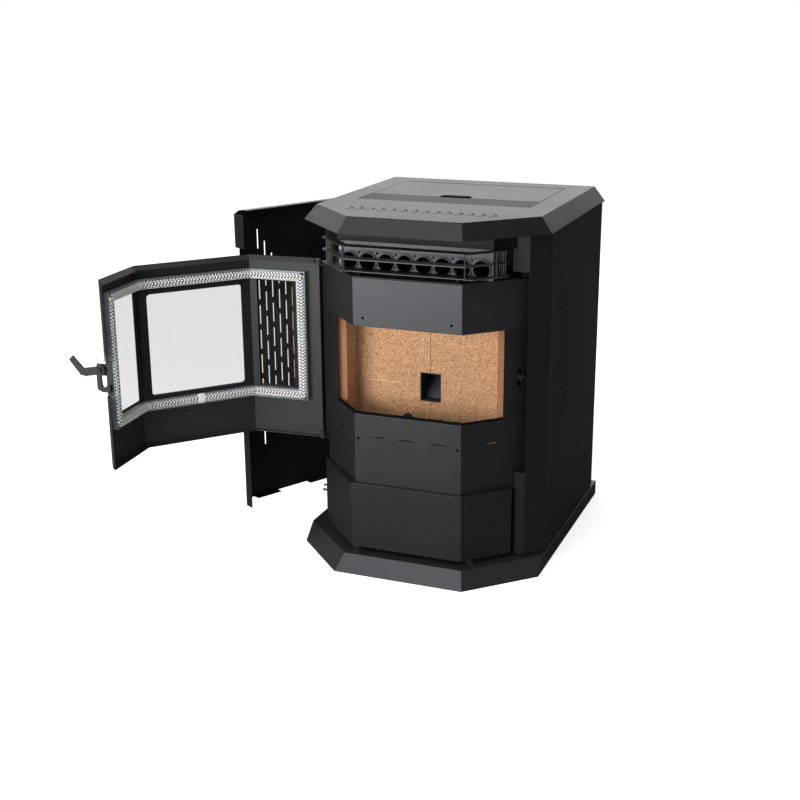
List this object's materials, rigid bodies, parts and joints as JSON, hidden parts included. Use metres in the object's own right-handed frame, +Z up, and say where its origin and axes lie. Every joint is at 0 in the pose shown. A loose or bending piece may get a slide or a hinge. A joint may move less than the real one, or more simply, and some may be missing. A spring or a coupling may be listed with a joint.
{
  "type": "pellet stove",
  "caption": "Free-standing pellet stove with a three-pane door standing open on a brick-lined firebox, tube heat exchanger, hopper lid, ash drawer and hinged side panels.",
  "frame": {"origin": "on the floor, at the centre of the base in X; Y zero is midway between the base's front and rear edges", "axes": "+X towards the right-hand side seen from the front, +Y towards the back, where the flue leaves, +Z up"},
  "size_m": [1.0305, 0.9712, 0.85],
  "materials": {
    "body": "matte charcoal powder coat with a fine texture",
    "top": "satin grey powder coat with a fine texture",
    "strip": "smooth dark satin strip",
    "louvre": "dark bronze-grey satin",
    "face": "matte charcoal, warmer and lighter where lit",
    "firebrick": "dry tan refractory board with dark and light grains",
    "pane": "clear heat-proof glass",
    "galvanised": "bluish galvanised sheet",
    "rope": "knitted silver-grey heat-proof rope",
    "pot": "dark cast iron",
    "steel": "plain sheet and bar steel",
    "inner": "black heat-proof paint",
    "motor": "dark grey motor housing",
    "hardware": "black painted steel hardware",
    "screws": "zinc-plated screw heads",
    "socket": "black moulded socket",
    "control": "dark moulded housing"
  },
  "bodies": {
    "stove": {"base_plinth": "body", "base_pan": "body", "front_posts": "body", "rear_posts": "body", "side_rails": "steel", "rear_panel": "body", "top_cover": "top", "control_strip": "strip", "control_box": "control", "lid_hinges": "hardware", "header_panel": "face", "lower_panel": "face", "face_jambs": "face", "firebox_shell": "inner", "side_bricks": "firebrick", "back_bricks": "firebrick", "igniter": "steel", "air_chest": "inner", "tube_plate": "face", "heat_tubes": "steel", "exchanger_shell": "steel", "firebox_cap": "inner", "louvre_grille": "louvre", "valance": "face", "hopper": "steel", "auger_tube": "steel", "auger_motor": "motor", "pellet_chute": "steel", "exhaust_blower": "steel", "exhaust_duct": "steel", "exhaust_motor": "motor", "room_blower": "steel", "room_motor": "motor", "air_duct": "steel", "air_intake": "steel", "damper_guide": "steel", "power_inlet": "socket", "door_hinges": "hardware", "latch_catch": "hardware", "corner_stiles": "body", "drawer_runners": "steel", "face_screws": "screws"},
    "door": {"door_frame": "body", "glass_center": "pane", "glass_sides": "pane", "pane_retainers": "hardware", "gasket_channel": "galvanised", "rope_gasket": "rope", "latch_bracket": "hardware"},
    "latch": {"latch_handle": "hardware"},
    "left_panel": {"side_panel_left": "body"},
    "right_panel": {"side_panel_right": "body"},
    "lid": {"hopper_lid": "top"},
    "drawer": {"ash_front": "body", "ash_pan": "steel"},
    "damper": {"damper_rod": "steel"},
    "auger": {"auger_screw": "steel"},
    "smoke_fan": {"exhaust_fan": "steel"},
    "room_air_fan": {"room_fan": "steel"},
    "pot": {"burn_pot": "pot"}
  },
  "joints": [
    {"name": "door_swing", "type": "hinge", "parent": "stove", "child": "door", "pos_m": [-0.27, -0.175, 0.489], "axis": [0, 0, 1], "range_deg": [0, 131]},
    {"name": "latch_turn", "type": "hinge", "parent": "door", "child": "latch", "pos_m": [-0.64745, -0.55692, 0.508], "axis": [0.0698, -0.9976, 0], "range_deg": [0, 28]},
    {"name": "left_panel_hinge", "type": "hinge", "parent": "stove", "child": "left_panel", "pos_m": [-0.294, 0.32, 0.4], "axis": [0, 0, 1], "range_deg": [-62, 28]},
    {"name": "right_panel_hinge", "type": "hinge", "parent": "stove", "child": "right_panel", "pos_m": [0.294, 0.32, 0.4], "axis": [0, 0, 1], "range_deg": [0, 90]},
    {"name": "lid_hinge", "type": "hinge", "parent": "stove", "child": "lid", "pos_m": [0, 0.262, 0.845], "axis": [-1, 0, 0], "range_deg": [0, 95]},
    {"name": "drawer_slide", "type": "slide", "parent": "stove", "child": "drawer", "axis": [0, -1, 0], "range_m": [0, 0.25]},
    {"name": "damper_slide", "type": "slide", "parent": "stove", "child": "damper", "axis": [1, 0, 0], "range_m": [0, 0.015]},
    {"name": "auger_spin", "type": "hinge", "parent": "stove", "child": "auger", "pos_m": [0, 0.235, 0.28], "axis": [0, -0.7071, 0.7071], "continuous": true},
    {"name": "smoke_fan_spin", "type": "hinge", "parent": "stove", "child": "smoke_fan", "pos_m": [-0.14, 0.2, 0.14], "axis": [1, 0, 0], "continuous": true},
    {"name": "room_fan_spin", "type": "hinge", "parent": "stove", "child": "room_air_fan", "pos_m": [0.12, 0.19, 0.15], "axis": [1, 0, 0], "continuous": true},
    {"name": "pot_lift", "type": "slide", "parent": "stove", "child": "pot", "axis": [0, 0, 1], "range_m": [0, 0.05]}
  ]
}
